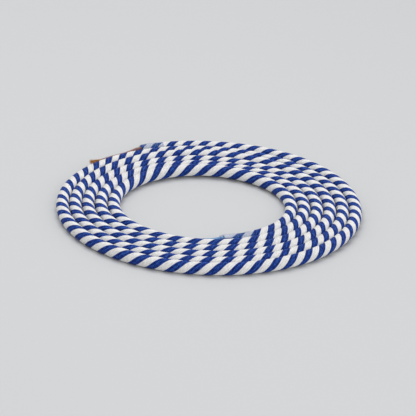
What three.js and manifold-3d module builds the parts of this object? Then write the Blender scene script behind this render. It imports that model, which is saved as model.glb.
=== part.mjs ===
// A two-metre length of round, textile-covered mains flex, wound flat into a
// single-layer spiral coil. Millimetres, +Z up, the coil lying on z = 0 with
// its centre on the origin. Every layer of the flex is a piece of its own and
// runs the whole length: textile cover, sheath, two insulated cores and their
// copper conductors. A clear film band grips the cover at each cut end.

import * as THREE from 'three';
import Module from 'manifold-3d';
import { mergeVertices } from 'three/addons/utils/BufferGeometryUtils.js';

// Driving dimensions of the coil.
const FLEX_DIAMETER = 6.1;
const TURN_PITCH = 6.2;          // centre to centre of two turns side by side
const INNER_END_RADIUS = 39.9;   // to the flex's centre line at its inner end
const INNER_END_ANGLE = -80;     // degrees, counter-clockwise seen from above
const OUTER_END_ANGLE = 1917.5;
const STATION_STEP = 20;         // degrees; divides 360, so turns stay parallel
const SPIRAL_CENTRE = { x: -1.5, y: -1.5 };   // puts the middle of the outline on the origin

// Driving dimensions of the layers, as radii to the flats of their sections.
const COVER = { outer: FLEX_DIAMETER / 2, inner: 2.6 };
const SHEATH = { outer: 2.5, inner: 2.12 };
const INSULATION = { outer: 0.905, inner: 0.56 };
const CONDUCTOR_RADIUS = 0.43;   // a square rod with the wires' 0.75 mm2 of copper
const CORE_OFFSET = 1.06;        // from the flex's centre line to a core's
const CORE_TWISTS = 5.5;         // laid up half a twist past five
const ROUND_SIDES = 8;
const BORE_SIDES = 4;

// Driving dimensions of the two ends.
const FILM = { outer: 3.02, inner: 2.88 };
const COVER_UNDER_FILM = 2.8;    // the film squeezes the cover to this radius
const CUT_OVERRUN = { around: 0.03, endways: 0.2 };   // past the cover's own surface
const FILM_LENGTH = { inner: 17, outer: 12.5 };
const FILM_GAP = 0.3;            // left between the film and the cover's shoulder
const CORE_TAIL = { inner: 16, outer: 25.5 }; // degrees of arc past the cover
const STRIPPED = { inner: 5, outer: 5 };      // degrees of bare copper on each
const TAIL_STEP = 2.5;           // degrees between the stations of a tail
const TAIL_CLEARANCE = 0.15;     // between a tail and the turn that it lies on
const TAIL_BEND = 9;             // degrees in which a tail meets that turn

const radians = THREE.MathUtils.degToRad;

const wasm = await Module();
wasm.setup();

// A path through given stations, evenly parted from one to the next.
class StationPath extends THREE.Curve {
  constructor(stations) {
    super();
    this.stations = stations;
  }

  getPoint(t, target = new THREE.Vector3()) {
    const last = this.stations.length - 1;
    const place = THREE.MathUtils.clamp(t, 0, 1) * last;
    const before = Math.min(Math.floor(place), last - 1);
    return target.lerpVectors(this.stations[before], this.stations[before + 1], place - before);
  }

  // At a station the section stands square between the two stretches.
  getTangent(t, target = new THREE.Vector3()) {
    const last = this.stations.length - 1;
    const station = Math.round(THREE.MathUtils.clamp(t, 0, 1) * last);
    const before = Math.max(station - 1, 0);
    const after = Math.min(station + 1, last);
    const arriving = this.stations[station].clone().sub(this.stations[before]).normalize();
    const leaving = this.stations[after].clone().sub(this.stations[station]).normalize();
    return target.addVectors(arriving, leaving).normalize();
  }

  getUtoTmapping(u) {
    return u;
  }
}

function turnRadius(angle) {
  return INNER_END_RADIUS + TURN_PITCH * (angle - INNER_END_ANGLE) / 360;
}

function onCoil(angle, radius, height) {
  const turned = radians(angle);
  return new THREE.Vector3(radius * Math.cos(turned), radius * Math.sin(turned), height);
}

// The radius at any angle of the straight-sided line through the coil's stations.
function facetRadius(angle) {
  const before = STATION_STEP * Math.floor((angle - INNER_END_ANGLE) / STATION_STEP) + INNER_END_ANGLE;
  const share = (angle - before) / STATION_STEP;
  const start = onCoil(before, turnRadius(before), 0);
  const end = onCoil(before + STATION_STEP, turnRadius(before + STATION_STEP), 0);
  return start.lerp(end, share).length();
}

function anglesFrom(first, last, step) {
  const count = Math.round((last - first) / step);
  return Array.from({ length: count + 1 }, (_, i) => first + (last - first) * i / count);
}

const WHOLE_STEPS = Math.floor((OUTER_END_ANGLE - INNER_END_ANGLE) / STATION_STEP);
const LAST_WHOLE_ANGLE = INNER_END_ANGLE + WHOLE_STEPS * STATION_STEP;
const COIL_ANGLES = [...anglesFrom(INNER_END_ANGLE, LAST_WHOLE_ANGLE, STATION_STEP), OUTER_END_ANGLE];
const CENTRE_HEIGHT = FLEX_DIAMETER / 2;
const CENTRE_LINE = COIL_ANGLES.map((angle) => onCoil(angle, facetRadius(angle), CENTRE_HEIGHT));

// A regular polygon with a flat at the bottom, given by the radius to its flats.
function polygon(flatRadius, sides) {
  const cornerRadius = flatRadius / Math.cos(Math.PI / sides);
  return Array.from({ length: sides }, (_, i) => {
    const turned = (i + 0.5) * 2 * Math.PI / sides;
    return new THREE.Vector2(cornerRadius * Math.cos(turned), cornerRadius * Math.sin(turned));
  });
}

function sweep(stations, outline, bore) {
  const section = new THREE.Shape(outline);
  if (bore) section.holes.push(new THREE.Path(bore));
  return new THREE.ExtrudeGeometry(section, {
    steps: stations.length - 1,
    extrudePath: new StationPath(stations),
  });
}

function tube(stations, radii, boreSides = ROUND_SIDES) {
  return sweep(stations, polygon(radii.outer, ROUND_SIDES), polygon(radii.inner, boreSides));
}

function solidOf(geometry) {
  const bare = geometry.clone();
  bare.deleteAttribute('normal');
  bare.deleteAttribute('uv');
  const merged = mergeVertices(bare, 1e-4);
  return new wasm.Manifold(new wasm.Mesh({
    numProp: 3,
    vertProperties: new Float32Array(merged.attributes.position.array),
    triVerts: new Uint32Array(merged.index.array),
  }));
}

function geometryOf(solid) {
  const mesh = solid.getMesh();
  const geometry = new THREE.BufferGeometry();
  geometry.setAttribute('position', new THREE.BufferAttribute(mesh.vertProperties, 3));
  geometry.setIndex(new THREE.BufferAttribute(mesh.triVerts, 1));
  geometry.computeVertexNormals();
  return geometry;
}

// The first stretch of a line of stations, cut off at a given length.
function stretchOf(line, length) {
  const stretch = [line[0]];
  let left = length;
  for (let i = 1; left > 0; i += 1) {
    const step = line[i].clone().sub(line[i - 1]);
    const taken = Math.min(left, step.length());
    stretch.push(line[i - 1].clone().addScaledVector(step.normalize(), taken));
    left -= taken;
  }
  return stretch;
}

function filmLength(line) {
  return line[0] === CENTRE_LINE[0] ? FILM_LENGTH.inner : FILM_LENGTH.outer;
}

function filmGeometry(line) {
  return tube(stretchOf(line, filmLength(line) - FILM_GAP), FILM);
}

// The cover is a tube, drawn in where the film grips it.
function coverGeometry() {
  const cutRadii = { outer: COVER.outer + CUT_OVERRUN.around, inner: COVER_UNDER_FILM };
  let cover = solidOf(tube(CENTRE_LINE, COVER));
  for (const line of [CENTRE_LINE, CENTRE_LINE.toReversed()]) {
    const [tip, ...rest] = stretchOf(line, filmLength(line));
    const outward = tip.clone().sub(rest[0]).normalize();
    const pastTip = tip.clone().addScaledVector(outward, CUT_OVERRUN.endways);
    cover = cover.subtract(solidOf(tube([pastTip, ...rest], cutRadii)));
  }
  return geometryOf(cover);
}

// A core's centre line: laid up round the flex's own, then out along the next
// turn, which it leans on from inside the coil or from outside it.
function coreStation(angle, phase) {
  const inside = THREE.MathUtils.clamp(angle, INNER_END_ANGLE, OUTER_END_ANGLE);
  const share = (inside - INNER_END_ANGLE) / (OUTER_END_ANGLE - INNER_END_ANGLE);
  const lay = radians(phase + 360 * CORE_TWISTS * share);
  const rise = CORE_OFFSET * Math.cos(lay);
  const reach = CORE_OFFSET * Math.sin(lay);
  const leaning = THREE.MathUtils.smoothstep(Math.abs(angle - inside), 0, TAIL_BEND);
  const leanTo = TURN_PITCH - COVER.outer - INSULATION.outer - TAIL_CLEARANCE;
  const towardsTurn = Math.sign(inside - angle) * leaning * leanTo;
  return onCoil(angle, facetRadius(angle) + reach + towardsTurn, CENTRE_HEIGHT + rise);
}

function coreStations(phase, bareInner, bareOuter) {
  const first = INNER_END_ANGLE - CORE_TAIL.inner + bareInner;
  const last = OUTER_END_ANGLE + CORE_TAIL.outer - bareOuter;
  const angles = [
    ...anglesFrom(first, INNER_END_ANGLE, TAIL_STEP).slice(0, -1),
    ...COIL_ANGLES,
    ...anglesFrom(OUTER_END_ANGLE, last, TAIL_STEP).slice(1),
  ];
  return angles.map((angle) => coreStation(angle, phase));
}

function insulationGeometry(phase) {
  return tube(coreStations(phase, STRIPPED.inner, STRIPPED.outer), INSULATION, BORE_SIDES);
}

function conductorGeometry(phase) {
  return sweep(coreStations(phase, 0, 0), polygon(CONDUCTOR_RADIUS, BORE_SIDES));
}

const MATERIALS = {
  textile: { color: 0xdcdcd8, roughness: 0.9, metalness: 0 },
  sheath: { color: 0xe9e7e0, roughness: 0.55, metalness: 0 },
  film: { color: 0xb9cbe0, roughness: 0.2, metalness: 0, transparent: true, opacity: 0.5 },
  brownPvc: { color: 0x8d5948, roughness: 0.45, metalness: 0 },
  bluePvc: { color: 0x5f8fbf, roughness: 0.45, metalness: 0 },
  copper: { color: 0xb87346, roughness: 0.35, metalness: 1 },
};

const coil = new THREE.Group();
coil.position.set(SPIRAL_CENTRE.x, SPIRAL_CENTRE.y, 0);

function addPiece(name, geometry, finish) {
  const piece = new THREE.Mesh(geometry, new THREE.MeshStandardMaterial(MATERIALS[finish]));
  piece.name = name;
  coil.add(piece);
}

addPiece('textile_cover', coverGeometry(), 'textile');
addPiece('inner_sheath', tube(CENTRE_LINE, SHEATH), 'sheath');
addPiece('blue_core_insulation', insulationGeometry(0), 'bluePvc');
addPiece('brown_core_insulation', insulationGeometry(180), 'brownPvc');
addPiece('blue_core_conductor', conductorGeometry(0), 'copper');
addPiece('brown_core_conductor', conductorGeometry(180), 'copper');
addPiece('inner_end_film', filmGeometry(CENTRE_LINE), 'film');
addPiece('outer_end_film', filmGeometry(CENTRE_LINE.toReversed()), 'film');

export default coil;
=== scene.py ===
import math

import bmesh
import bpy
from mathutils import Matrix, Vector


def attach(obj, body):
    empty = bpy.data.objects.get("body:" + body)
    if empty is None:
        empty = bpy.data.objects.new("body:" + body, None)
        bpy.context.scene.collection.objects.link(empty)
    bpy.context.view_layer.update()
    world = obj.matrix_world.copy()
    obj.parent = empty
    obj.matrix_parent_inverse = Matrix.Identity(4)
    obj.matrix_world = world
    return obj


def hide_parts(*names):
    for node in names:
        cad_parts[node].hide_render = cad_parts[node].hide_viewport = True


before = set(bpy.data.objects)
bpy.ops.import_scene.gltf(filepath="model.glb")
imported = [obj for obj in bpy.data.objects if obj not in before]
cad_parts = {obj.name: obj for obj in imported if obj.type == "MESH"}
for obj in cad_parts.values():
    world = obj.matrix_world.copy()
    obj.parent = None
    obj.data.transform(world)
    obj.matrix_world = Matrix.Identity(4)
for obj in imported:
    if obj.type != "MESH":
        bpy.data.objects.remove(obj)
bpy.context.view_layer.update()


# ---- Camera ----
# A long lens, 1.4 metres from the coil and about 24 degrees above it, looks near
# the coil's middle. The camera leans a trace to one side.
MM = 0.001                       # in metres; plain lengths are millimetres unless they say metres
CAMERA_ELEVATION = math.radians(23.965)
CAMERA_LEAN = math.radians(2.355)
CAMERA_DISTANCE = 1402.2 * MM
CAMERA_TARGET = Vector((-0.508, 3.423, 0)) * MM
CAMERA_LENS = 250.3              # on the usual 36 mm wide sensor
CAMERA_SEES = 20                 # metres away at most

towards_camera = Vector((0, -math.cos(CAMERA_ELEVATION), math.sin(CAMERA_ELEVATION)))
level_right = Vector((1, 0, 0))
level_up = towards_camera.cross(level_right)
leaning_right = level_right * math.cos(CAMERA_LEAN) + level_up * math.sin(CAMERA_LEAN)
leaning_up = level_up * math.cos(CAMERA_LEAN) - level_right * math.sin(CAMERA_LEAN)
camera = bpy.data.objects.new("camera", bpy.data.cameras.new("camera"))
camera.data.lens = CAMERA_LENS
camera.data.clip_end = CAMERA_SEES
camera.matrix_world = Matrix.Translation(CAMERA_TARGET + towards_camera * CAMERA_DISTANCE) @ Matrix(
    (leaning_right, leaning_up, towards_camera)
).transposed().to_4x4()
bpy.context.scene.collection.objects.link(camera)
bpy.context.scene.camera = camera
bpy.context.scene.view_settings.view_transform = "Standard"


# ---- Route of the flex ----
# Two metres of round flex, wound by hand into a flat spiral of touching turns
# from the inner end outwards, counter-clockwise seen from above. The route is
# worked out in millimetres, and on_flex turns it into metres.
FLEX_DIAMETER = 6.1
TURN_PITCH = 6.2                 # centre to centre of two turns side by side
INNER_END_RADIUS = 39.9          # to the flex's centre line at its inner end
INNER_END_ANGLE = math.radians(-80)
OUTER_END_ANGLE = math.radians(1917.5)
SPIRAL_CENTRE = Vector((-1.5, -1.5, 0))
RADIUS_GAIN = TURN_PITCH / (2 * math.pi)   # millimetres in a radian
# Where a turn rides up on its neighbours: (degrees along the spiral, rise, spread in degrees).
HUMPS = ((90, 0.7, 55), (265, 0.5, 60), (620, 0.4, 60), (980, 0.3, 60), (1170, 0.7, 55), (1850, 0.6, 35))
OUTER_END_RADIUS = INNER_END_RADIUS + RADIUS_GAIN * (OUTER_END_ANGLE - INNER_END_ANGLE)
FLEX_LENGTH = (OUTER_END_RADIUS ** 2 - INNER_END_RADIUS ** 2) / (2 * RADIUS_GAIN)


def turn_radius(along):
    """The spiral's radius some millimetres of flex from the inner end; before it, less than zero."""
    return math.sqrt(INNER_END_RADIUS ** 2 + 2 * RADIUS_GAIN * along)


def turn_angle(along):
    return INNER_END_ANGLE + (turn_radius(along) - INNER_END_RADIUS) / RADIUS_GAIN


def along_at(angle):
    radius = INNER_END_RADIUS + RADIUS_GAIN * (angle - INNER_END_ANGLE)
    return (radius ** 2 - INNER_END_RADIUS ** 2) / (2 * RADIUS_GAIN)


def hump(angle):
    degrees = math.degrees(angle)
    return sum(rise * math.exp(-(((degrees - middle) / spread) ** 2)) for middle, rise, spread in HUMPS)


def on_flex(along, outward, upward):
    """A point beside the flex's centre line, in metres in the row frame."""
    radius, angle = turn_radius(along) + outward, turn_angle(along)
    height = FLEX_DIAMETER / 2 + hump(angle) + upward
    return (SPIRAL_CENTRE + Vector((radius * math.cos(angle), radius * math.sin(angle), height))) * MM


def round_flex(along, turned, radius):
    """The same by an angle, counted from the coil's outside over the top, and a distance."""
    return on_flex(along, radius * math.cos(turned), radius * math.sin(turned))


# ---- Textile cover ----
# Blue and white yarns served over the sheath side by side, six blue ends and
# six white ones in turn, two starts of each. The cover is nipped in under the
# films at both cut ends. A real cover has more and finer ends, too fine to show.
BLUE_ENDS = 6
WHITE_ENDS = 6
STARTS = 2
YARN_TURN = 2 * math.pi / STARTS / (BLUE_ENDS + WHITE_ENDS)    # of one yarn end, about the flex
YARN_STEPS = 3                   # facets over one yarn's back
YARN_GROOVE = 0.24               # depth between two yarns
BAND_GAP = math.radians(0.4)     # between two bands, about the flex
COVER_THICKNESS = 0.45
COVER_BORE_AT_END = 2.0          # the two cores fill it
COVER_UNDER_FILM = 2.8
COVER_RECESS = {"inner": 2.2, "outer": 0.4}   # the film reaches past the cover's cut ends
COVER_SHOULDER = 1.2             # length over which the cover grows back to its full size
UNDERSIDE_STEPS = 3
RINGS_PER_LEAD = 16
YARN_LEAD = 18.42                # of flex in which one yarn goes once round, on average
INNER_FILM_LENGTH = 16.7
OUTER_FILM_LENGTH = 12.2
INNER_DRAW_LENGTH = 3.2          # in which the shrunk film draws each cut end in
OUTER_DRAW_LENGTH = 1.6
DRAW_DEPTH = 0.8
WELD_DISTANCE = 0.0001 * MM      # corners of a mesh nearer than this are one
SHARP_EDGE = math.radians(60)
FIRST_BAND = 0.4                 # of a band, where the lay starts at the inner end
LAY_SLACK = 1.9                  # bands that the lay falls behind the average at the slackest place
SLACKEST = 0.75                  # that place, as a share of the length
END_SLIP = {"inner": 0.55, "outer": 0.06}    # of a band, by which the yarns have slipped round at each end
SLIP_LENGTH = {"inner": 6.5, "outer": 40}


def smooth_step(value, start, end):
    share = min(max((value - start) / (end - start), 0), 1)
    return share * share * (3 - 2 * share)


def band_turn(along):
    """How far round the flex the middle of the first blue band lies."""
    share = along / FLEX_LENGTH
    slack = (share / SLACKEST) ** (SLACKEST / (1 - SLACKEST)) * (1 - share) / (1 - SLACKEST)
    bands = FIRST_BAND + STARTS * along / YARN_LEAD - LAY_SLACK * slack
    bands += END_SLIP["outer"] * smooth_step(along, FLEX_LENGTH - SLIP_LENGTH["outer"], FLEX_LENGTH)
    bands += END_SLIP["inner"] * smooth_step(-along, -SLIP_LENGTH["inner"], 0)
    return math.pi * bands


def drawn_in(along):
    """How far the shrunk film pulls the cover in near a cut end: a quarter of an ellipse."""
    near_end = max(1 - along / INNER_DRAW_LENGTH, 1 - (FLEX_LENGTH - along) / OUTER_DRAW_LENGTH)
    share = min(max(near_end, 0), 1)
    return DRAW_DEPTH * (1 - math.sqrt(1 - share * share))


def cover_radius(along):
    from_film = min(along - INNER_FILM_LENGTH, FLEX_LENGTH - OUTER_FILM_LENGTH - along)
    grown = smooth_step(from_film, 0, COVER_SHOULDER)
    return COVER_UNDER_FILM + (FLEX_DIAMETER / 2 - COVER_UNDER_FILM) * grown - drawn_in(along)


def add_tube(mesh, rings, sides, place, lay=None):
    """Bends a grid into a tube: place(ring, side) is a corner's place and lay(ring, side) its UV."""
    grid = bmesh.ops.create_grid(mesh, x_segments=rings - 1, y_segments=sides, size=0.5)["verts"]
    spot = {v: (round((v.co.x + 0.5) * (rings - 1)), round((v.co.y + 0.5) * sides)) for v in grid}
    if lay:
        uv = mesh.loops.layers.uv["yarn_lay"]
        for vertex, (ring, side) in spot.items():
            for loop in vertex.link_loops:
                loop[uv].uv = lay(ring, side)
    for vertex, (ring, side) in spot.items():
        vertex.co = place(ring, side % sides)


def finish_mesh(mesh, name, material):
    """Welds the tubes' seams, closes their ends, and makes the object."""
    bmesh.ops.remove_doubles(mesh, verts=mesh.verts, dist=WELD_DISTANCE)
    open_edges = [edge for edge in mesh.edges if edge.is_boundary]
    bmesh.ops.holes_fill(mesh, edges=open_edges, sides=0)
    bmesh.ops.recalc_face_normals(mesh, faces=mesh.faces)
    for face in mesh.faces:
        face.smooth = True
    for edge in mesh.edges:
        edge.smooth = edge.calc_face_angle(0) < SHARP_EDGE
    data = bpy.data.meshes.new(name)
    mesh.to_mesh(data)
    mesh.free()
    data.materials.append(material)
    piece = bpy.data.objects.new(name, data)
    bpy.context.scene.collection.objects.link(piece)
    return piece


def yarn_band(name, ends, middle, material):
    """The helical bands of one colour, each as wide as its yarn ends laid side by side."""
    rings = round(FLEX_LENGTH / YARN_LEAD * RINGS_PER_LEAD) + 1
    top_steps = ends * YARN_STEPS
    sides = top_steps + UNDERSIDE_STEPS + 1
    half_width = ends * YARN_TURN / 2 - BAND_GAP / 2
    cover_length = FLEX_LENGTH - COVER_RECESS["inner"] - COVER_RECESS["outer"]

    def across(side):
        if side <= top_steps:
            return side / top_steps
        return 1 - (side - top_steps - 1) / UNDERSIDE_STEPS if side < sides else 0

    def place(ring, side, start):
        along = COVER_RECESS["inner"] + cover_length * ring / (rings - 1)
        turned = band_turn(along) + middle + start + half_width * (2 * across(side) - 1)
        if side > top_steps:
            return round_flex(along, turned, max(cover_radius(along) - COVER_THICKNESS, COVER_BORE_AT_END))
        arch = math.sin(math.pi * (side % YARN_STEPS) / YARN_STEPS)
        return round_flex(along, turned, cover_radius(along) - YARN_GROOVE * (1 - arch))

    def lay(ring, side):
        yarn_length = math.hypot(FLEX_LENGTH, math.pi * FLEX_DIAMETER * FLEX_LENGTH / YARN_LEAD)
        return across(side) * ends, yarn_length * ring / (rings - 1)

    mesh = bmesh.new()
    mesh.loops.layers.uv.new("yarn_lay")
    for number in range(STARTS):
        start = number * 2 * math.pi / STARTS
        add_tube(mesh, rings, sides, lambda ring, side: place(ring, side, start), lay)
    return finish_mesh(mesh, name, material)


def linear(colour):
    """An sRGB hex colour as the linear numbers that a socket takes."""
    parts = [int(colour[i:i + 2], 16) / 255 for i in (1, 3, 5)]
    return [p / 12.92 if p <= 0.04045 else ((p + 0.055) / 1.055) ** 2.4 for p in parts] + [1]


def add_node(material, kind, settings=(), sockets=(), links=()):
    """Adds a shader node, sets its properties and sockets, and links its inputs to outputs."""
    node = material.node_tree.nodes.new("ShaderNode" + kind)
    for name, value in dict(settings).items():
        setattr(node, name, value)
    for name, value in dict(sockets).items():
        node.inputs[name].default_value = value
    for name, output in dict(links).items():
        material.node_tree.links.new(output, node.inputs[name])
    return node


def new_material(name, sockets):
    """A material whose surface is one Principled shader with the given constant sockets."""
    material = bpy.data.materials.new(name)
    material.use_nodes = True
    shader = material.node_tree.nodes["Principled BSDF"]
    for socket, value in sockets.items():
        shader.inputs[socket].default_value = value
    return material, shader


YARN_FIBRES = 7                  # bundles of filament over one yarn; the real ones are finer
FIBRE_LENGTH = 4                 # millimetres over which one bundle shows
FIBRE_SLANT = 0.35               # yarns' widths that the twist carries a fibre in a millimetre
SLUB_LENGTH = 1.6                # millimetres between a yarn's thick and thin places
PAINTED_SHADE_WIDTH = 0.24              # share of a yarn's width, at each of its edges, that takes painted shade
PAINTED_GROOVE_SHADE = 0.45               # painted shade: how much darker a yarn is coloured at its edges, in the grooves between yarns, than on its back
TONE_RANGE = (0.65, 1.5)         # the darkest and the lightest tone that a yarn reaches
BODY_TONE = 0.5                  # where in that range the yarn has its body colour
SLUB_BUMP = 0.5                  # height of a slub beside that of a fibre
FIBRE_BUMP = 0.06 * MM
FIBRE_BUMP_STRENGTH = 0.8


def yarn_material(name, shade, body, light, gloss, dye_spread):
    """Twisted polyester filament yarn: a soft, satin surface of fine fibres that lie along the
    yarn with a slight twist; painted shade darkens its colour in the grooves. Each end takes the dye a
    little differently."""
    material, shader = new_material(
        name,
        {"Roughness": 0.6, "Sheen Weight": 0.03, "Sheen Roughness": 0.4, "Specular IOR Level": gloss},
    )
    # This UV counts yarns across the band and millimetres along it.
    lay = add_node(material, "UVMap", {"uv_map": "yarn_lay"}).outputs[0]
    across = add_node(material, "SeparateXYZ", links={0: lay}).outputs[0]
    fibre_across = add_node(
        material, "VectorMath", {"operation": "DOT_PRODUCT"},
        {1: (YARN_FIBRES, YARN_FIBRES * FIBRE_SLANT, 0)}, {0: lay},
    )
    fibre_along = add_node(
        material, "VectorMath", {"operation": "DOT_PRODUCT"}, {1: (0, 1 / FIBRE_LENGTH, 0)}, {0: lay}
    )
    fibre_place = add_node(
        material, "CombineXYZ", links={0: fibre_across.outputs["Value"], 1: fibre_along.outputs["Value"]}
    )
    fibres = add_node(
        material, "TexNoise", {"noise_dimensions": "2D"}, {"Scale": 1, "Detail": 2},
        {"Vector": fibre_place.outputs[0]},
    )
    slub_place = add_node(
        material, "VectorMath", {"operation": "MULTIPLY"}, {1: (1, 1 / SLUB_LENGTH, 0)}, {0: lay}
    )
    slubs = add_node(
        material, "TexNoise", {"noise_dimensions": "2D"}, {"Scale": 1, "Detail": 1},
        {"Vector": slub_place.outputs[0]},
    )
    end_number = add_node(material, "Math", {"operation": "FLOOR"}, links={0: across})
    dye = add_node(
        material, "TexWhiteNoise", {"noise_dimensions": "1D"}, links={"W": end_number.outputs[0]}
    )
    # Painted shade: the colour darkens towards each yarn's edges, where the grooves between yarns lie.
    from_groove = add_node(material, "Math", {"operation": "PINGPONG"}, {1: 0.5}, {0: across})
    groove_shade = add_node(
        material, "MapRange", {"interpolation_type": "SMOOTHSTEP"},
        {"From Min": 0, "From Max": PAINTED_SHADE_WIDTH, "To Min": -PAINTED_GROOVE_SHADE, "To Max": 0},
        {"Value": from_groove.outputs[0]},
    )
    texture = add_node(
        material, "Math", {"operation": "ADD"}, links={0: fibres.outputs[0], 1: slubs.outputs[0]}
    )
    dyed = add_node(
        material, "Math", {"operation": "MULTIPLY_ADD"}, {1: dye_spread},
        {0: dye.outputs["Value"], 2: texture.outputs[0]},
    )
    tone = add_node(material, "Math", {"operation": "ADD"}, links={0: dyed.outputs[0], 1: groove_shade.outputs[0]})
    spread = add_node(
        material, "MapRange", sockets={"From Min": TONE_RANGE[0], "From Max": TONE_RANGE[1]},
        links={"Value": tone.outputs[0]},
    )
    # The ramp's shade end is reached at random dark places and in the painted shade at the yarns' edges.
    colours = add_node(material, "ValToRGB", links={"Fac": spread.outputs[0]})
    colours.color_ramp.elements[0].color = linear(shade)
    colours.color_ramp.elements[1].color = linear(light)
    colours.color_ramp.elements.new(BODY_TONE).color = linear(body)
    relief = add_node(
        material, "Math", {"operation": "MULTIPLY_ADD"}, {1: SLUB_BUMP},
        {0: slubs.outputs[0], 2: fibres.outputs[0]},
    )
    bump = add_node(
        material, "Bump", sockets={"Strength": FIBRE_BUMP_STRENGTH, "Distance": FIBRE_BUMP},
        links={"Height": relief.outputs[0]},
    )
    material.node_tree.links.new(colours.outputs[0], shader.inputs["Base Color"])
    material.node_tree.links.new(bump.outputs[0], shader.inputs["Normal"])
    return material


white_yarn = yarn_material("white_polyester_yarn", "#d2d1d0", "#eeedeb", "#f6f5f3", 0.3, 0.15)
blue_yarn = yarn_material("blue_polyester_yarn", "#040d42", "#17398c", "#3d6ac4", 0.12, 0.22)
white_yarns = yarn_band("white_yarns", WHITE_ENDS, math.pi / 2, white_yarn)
blue_yarns = yarn_band("blue_yarns", BLUE_ENDS, 0, blue_yarn)
for cover_piece in (white_yarns, blue_yarns):
    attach(cover_piece, "root")
    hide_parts("textile_cover")


# ---- Inner sheath ----
# A thin white PVC tube, extruded over the two cores; it shows only as the ring
# inside the yarns at the cut ends.
SHEATH = {"outside": 2.5, "bore": 2.12}
SHEATH_RECESS = 3.2              # cut a little shorter than the yarns
SHEATH_RING_STEP = 5
SHEATH_SIDES = 20
EDGE_ROUND = 0.06


def hollow_profile(first, last, step, outside, bore, round_by):
    """The wall of a long tube as (along, radius) points, once round it, with its rims eased."""
    count = max(round((last - first - 2 * round_by) / step), 1)
    lengths = [first + round_by + (last - first - 2 * round_by) * i / count for i in range(count + 1)]
    outer_wall = [(along, outside) for along in lengths]
    inner_wall = [(along, bore) for along in reversed(lengths)]
    far_rim = [(last, outside - round_by), (last, bore + round_by)]
    near_rim = [(first, bore + round_by), (first, outside - round_by)]
    return outer_wall + far_rim + inner_wall + near_rim


def hollow_tube(name, profile, sides, place, material):
    """A tube with a bore, from its wall's profile; place(along, turned, radius) bends it."""
    mesh = bmesh.new()

    def corner(ring, side):
        along, radius = profile[ring % len(profile)]
        return place(along, 2 * math.pi * side / sides, radius)

    add_tube(mesh, len(profile) + 1, sides, corner)
    return finish_mesh(mesh, name, material)


FLOW_MARK = 2.5 * MM             # across one cloud of colour or swelling in the extruded skin
SKIN_BUMP = 0.02 * MM
SKIN_BUMP_STRENGTH = 0.25
CLOUD_RANGE = (0.3, 0.7)         # of the clouds' strength, from the shade to the body colour


def pvc_material(name, shade, body):
    """Extruded PVC: even colour with a satin skin, faintly clouded and uneven from the die."""
    material, shader = new_material(name, {"Roughness": 0.42, "IOR": 1.53})
    place = add_node(material, "TexCoord")
    clouds = add_node(
        material, "TexNoise", sockets={"Scale": 1 / FLOW_MARK, "Detail": 3},
        links={"Vector": place.outputs["Object"]},
    )
    colours = add_node(material, "ValToRGB", links={"Fac": clouds.outputs[0]})
    colours.color_ramp.elements[0].position = CLOUD_RANGE[0]
    colours.color_ramp.elements[0].color = linear(shade)
    colours.color_ramp.elements[1].position = CLOUD_RANGE[1]
    colours.color_ramp.elements[1].color = linear(body)
    bump = add_node(
        material, "Bump", sockets={"Strength": SKIN_BUMP_STRENGTH, "Distance": SKIN_BUMP},
        links={"Height": clouds.outputs[0]},
    )
    material.node_tree.links.new(colours.outputs[0], shader.inputs["Base Color"])
    material.node_tree.links.new(bump.outputs[0], shader.inputs["Normal"])
    return material


sheath_profile = hollow_profile(
    SHEATH_RECESS, FLEX_LENGTH - SHEATH_RECESS,
    SHEATH_RING_STEP, SHEATH["outside"], SHEATH["bore"], EDGE_ROUND,
)
inner_sheath = hollow_tube(
    "inner_sheath_tube", sheath_profile, SHEATH_SIDES, round_flex,
    pvc_material("white_pvc", "#d3d1ca", "#e9e7e0"),
)
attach(inner_sheath, "root")
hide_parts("inner_sheath")


# ---- Core insulations ----
# The brown and the blue core, PVC tubes laid up round each other down the whole
# flex. Past the cut cover each one leans on the next turn and lies along it.
INSULATION = {"outside": 0.94, "bore": 0.56}
CORE_OFFSET = 1.06               # from the flex's centre line to a core's
CORE_TWISTS = 5.5
BROWN_PHASE = math.pi
BLUE_PHASE = 0
CORE_TAIL = {"inner": math.radians(16), "outer": math.radians(25.5)}    # past the cover
STRIPPED = math.radians(5)       # of bare copper at each end
TAIL_CLEARANCE = 0.15
TAIL_BEND = math.radians(8)      # in which a tail meets the turn it lies on
TAIL_DROOP = {"inner": 0.0, "outer": 0.6}      # by which a tail sags below the flex's centre line
CORE_RING_STEP = 4
CORE_SIDES = 14


def on_core(phase, along, turned, radius):
    """A point round a core's own centre line."""
    inside = min(max(along, 0), FLEX_LENGTH)
    lay = phase + 2 * math.pi * CORE_TWISTS * (turn_angle(inside) - INNER_END_ANGLE) / (
        OUTER_END_ANGLE - INNER_END_ANGLE
    )
    past = turn_angle(along) - turn_angle(inside)
    lean_to = TURN_PITCH - FLEX_DIAMETER / 2 - INSULATION["outside"] - TAIL_CLEARANCE
    lean = -math.copysign(smooth_step(abs(past), 0, TAIL_BEND), past) * lean_to
    outward = CORE_OFFSET * math.sin(lay) + lean + radius * math.cos(turned)
    resting = TAIL_DROOP["inner" if past < 0 else "outer"] * smooth_step(abs(past), 0, TAIL_BEND)
    droop = hump(turn_angle(along)) + resting if past else 0
    upward = CORE_OFFSET * math.cos(lay) - droop + radius * math.sin(turned)
    return on_flex(along, outward, upward)


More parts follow.
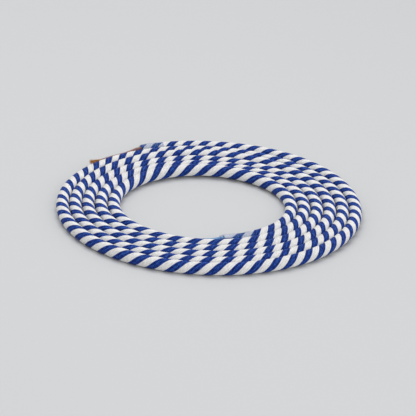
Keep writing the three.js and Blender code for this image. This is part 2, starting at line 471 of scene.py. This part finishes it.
insulation_profile = hollow_profile(
    along_at(INNER_END_ANGLE - CORE_TAIL["inner"] + STRIPPED),
    along_at(OUTER_END_ANGLE + CORE_TAIL["outer"] - STRIPPED),
    CORE_RING_STEP, INSULATION["outside"], INSULATION["bore"], EDGE_ROUND,
)
brown_core = hollow_tube(
    "brown_core", insulation_profile, CORE_SIDES,
    lambda along, turned, radius: on_core(BROWN_PHASE, along, turned, radius),
    pvc_material("brown_pvc", "#6e4844", "#946a62"),
)
blue_core = hollow_tube(
    "blue_core", insulation_profile, CORE_SIDES,
    lambda along, turned, radius: on_core(BLUE_PHASE, along, turned, radius),
    pvc_material("blue_pvc", "#4a78a8", "#6b9ac6"),
)
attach(brown_core, "root")
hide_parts("brown_core_insulation")
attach(blue_core, "root")
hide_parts("blue_core_insulation")


# ---- Copper conductors ----
# Twenty-four bare copper wires of a fifth of a millimetre, bunched with a slow
# twist, fill each insulation. They fan a little where the outer end is stripped.
WIRE_RADIUS = 0.1
WIRE_LAYERS = ((1, 0, 0.0), (2, 0.11, 0.0), (8, 0.25, 0.2), (13, 0.44, 0.1))   # (wires, radius, turn)
WIRE_SIDES = 6
WIRE_RING_STEP = 5
WIRE_LAY = 45                    # of flex in which a wire goes once round the bunch
FAN_LENGTH = 9
FAN_SPREAD = 1.5                 # how much farther apart the wires are at the tip
BROWN_TIP_RISE = 1.6             # the brown core's wires are bent up, the blue core's lie down
TARNISH_PATCH = 1.1 * MM
TARNISH_RANGE = (0.3, 0.7)       # of the patches' strength, from the darkened to the bright metal


def copper_material():
    """Drawn, annealed copper wire: bright metal that has begun to darken in the air in patches."""
    material, shader = new_material("annealed_copper_wire", {"Metallic": 1, "Roughness": 0.38})
    place = add_node(material, "TexCoord")
    tarnish = add_node(
        material, "TexNoise", sockets={"Scale": 1 / TARNISH_PATCH, "Detail": 3},
        links={"Vector": place.outputs["Object"]},
    )
    colours = add_node(material, "ValToRGB", links={"Fac": tarnish.outputs[0]})
    colours.color_ramp.elements[0].position = TARNISH_RANGE[0]
    colours.color_ramp.elements[0].color = linear("#b87a36")
    colours.color_ramp.elements[1].position = TARNISH_RANGE[1]
    colours.color_ramp.elements[1].color = linear("#f0b468")
    material.node_tree.links.new(colours.outputs[0], shader.inputs["Base Color"])
    return material


def wire_bunch(name, phase, tip_rise, material):
    first = along_at(INNER_END_ANGLE - CORE_TAIL["inner"])
    last = along_at(OUTER_END_ANGLE + CORE_TAIL["outer"])
    rings = round((last - first) / WIRE_RING_STEP) + 1
    mesh = bmesh.new()
    for count, layer_radius, first_turn in WIRE_LAYERS:
        for number in range(count):
            begun = 2 * math.pi * (number / count + first_turn)

            def corner(ring, side):
                along = first + (last - first) * ring / (rings - 1)
                to_tip = min(along - first, last - along)
                bent = (1 - smooth_step(to_tip, 0, FAN_LENGTH)) * (along > 0)
                fan = 1 + FAN_SPREAD * bent
                turned = begun + 2 * math.pi * along / WIRE_LAY
                about = 2 * math.pi * side / WIRE_SIDES
                sideways = layer_radius * fan * math.cos(turned) + WIRE_RADIUS * math.cos(about)
                upward = layer_radius * fan * math.sin(turned) + WIRE_RADIUS * math.sin(about)
                upward += tip_rise * bent
                return on_core(phase, along, math.atan2(upward, sideways), math.hypot(upward, sideways))

            add_tube(mesh, rings, WIRE_SIDES, corner)
    return finish_mesh(mesh, name, material)


copper = copper_material()
brown_core_wires = wire_bunch("brown_core_wires", BROWN_PHASE, BROWN_TIP_RISE, copper)
blue_core_wires = wire_bunch("blue_core_wires", BLUE_PHASE, 0, copper)
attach(brown_core_wires, "root")
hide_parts("brown_core_conductor")
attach(blue_core_wires, "root")
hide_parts("blue_core_conductor")


# ---- Clear films ----
# A short sleeve of clear heat-shrink film over each cut end, so that the yarns
# don't fray. It is glossy, with a faint blue haze, and turns in at the cut ends.
FILM = {"outside": 3.04, "bore": 2.86}
FILM_RING_STEP = 0.6
FILM_SIDES = 48
FILM_ROUND = 0.08
HAZE_PATCH = 11 * MM
FILM_BUMP = 0.1 * MM
FILM_BUMP_STRENGTH = 0.04


def film_material():
    """Clear polyolefin film, shrunk on: mostly see-through, with a faint blue haze and a gloss."""
    material, shader = new_material(
        "clear_shrink_film",
        {"Alpha": 0.14, "Roughness": 0.12, "IOR": 1.5, "Coat Weight": 0.6, "Coat Roughness": 0.08},
    )
    place = add_node(material, "TexCoord")
    haze = add_node(
        material, "TexNoise", sockets={"Scale": 1 / HAZE_PATCH, "Detail": 1},
        links={"Vector": place.outputs["Object"]},
    )
    colours = add_node(material, "ValToRGB", links={"Fac": haze.outputs[0]})
    colours.color_ramp.elements[0].color = linear("#2058a2")
    colours.color_ramp.elements[1].color = linear("#3678c4")
    bump = add_node(
        material, "Bump", sockets={"Strength": FILM_BUMP_STRENGTH, "Distance": FILM_BUMP},
        links={"Height": haze.outputs[0]},
    )
    material.node_tree.links.new(colours.outputs[0], shader.inputs["Base Color"])
    material.node_tree.links.new(bump.outputs[0], shader.inputs["Normal"])
    return material


def shrunk_on(along, turned, radius):
    return round_flex(along, turned, radius - drawn_in(along))


clear_film = film_material()
inner_film = hollow_tube(
    "inner_film",
    hollow_profile(0, INNER_FILM_LENGTH, FILM_RING_STEP, FILM["outside"], FILM["bore"], FILM_ROUND),
    FILM_SIDES, shrunk_on, clear_film,
)
outer_film = hollow_tube(
    "outer_film",
    hollow_profile(
        FLEX_LENGTH - OUTER_FILM_LENGTH, FLEX_LENGTH,
        FILM_RING_STEP, FILM["outside"], FILM["bore"], FILM_ROUND,
    ),
    FILM_SIDES, shrunk_on, clear_film,
)
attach(inner_film, "root")
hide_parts("inner_end_film")
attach(outer_film, "root")
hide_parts("outer_end_film")


# ---- The flex as a cord ----
# It is shown from end to end, so nothing of it is put away. Both ends are cut
# and bare, as it is sold.
ROUTE_STEP = 5
route_count = round(FLEX_LENGTH / ROUTE_STEP)
route = [on_flex(FLEX_LENGTH * i / route_count, 0, 0) for i in range(route_count + 1)]


# ---- Floor and light ----
# A plain pale studio floor, one big soft box overhead and a weaker one from the
# camera's side, in a bright room.
FLOOR_SIZE = 4                   # metres
ROOM_STRENGTH = 0.68
floor_mesh = bmesh.new()
bmesh.ops.create_grid(floor_mesh, x_segments=1, y_segments=1, size=FLOOR_SIZE / 2)
floor_material, floor_shader = new_material("pale_floor", {"Roughness": 0.8})
floor_shader.inputs["Base Color"].default_value = linear("#c9cacb")
floor = finish_mesh(floor_mesh, "floor", floor_material)

SOFT_BOXES = (
    # name, place and size in metres, power in watts
    ("overhead_box", (-0.1, 0.2, 0.9), 0.9, 4.6),
    ("front_box", (0.35, -0.9, 0.55), 0.7, 2.9),
)
for name, place, size, power in SOFT_BOXES:
    light = bpy.data.lights.new(name, "AREA")
    light.size = size
    light.energy = power
    lamp = bpy.data.objects.new(name, light)
    lamp.location = place
    lamp.rotation_euler = (-Vector(place)).to_track_quat("-Z", "Y").to_euler()
    bpy.context.scene.collection.objects.link(lamp)

room = bpy.data.worlds.new("room")
room.use_nodes = True
room.node_tree.nodes["Background"].inputs["Color"].default_value = linear("#f5f5f6")
room.node_tree.nodes["Background"].inputs["Strength"].default_value = ROOM_STRENGTH
bpy.context.scene.world = room
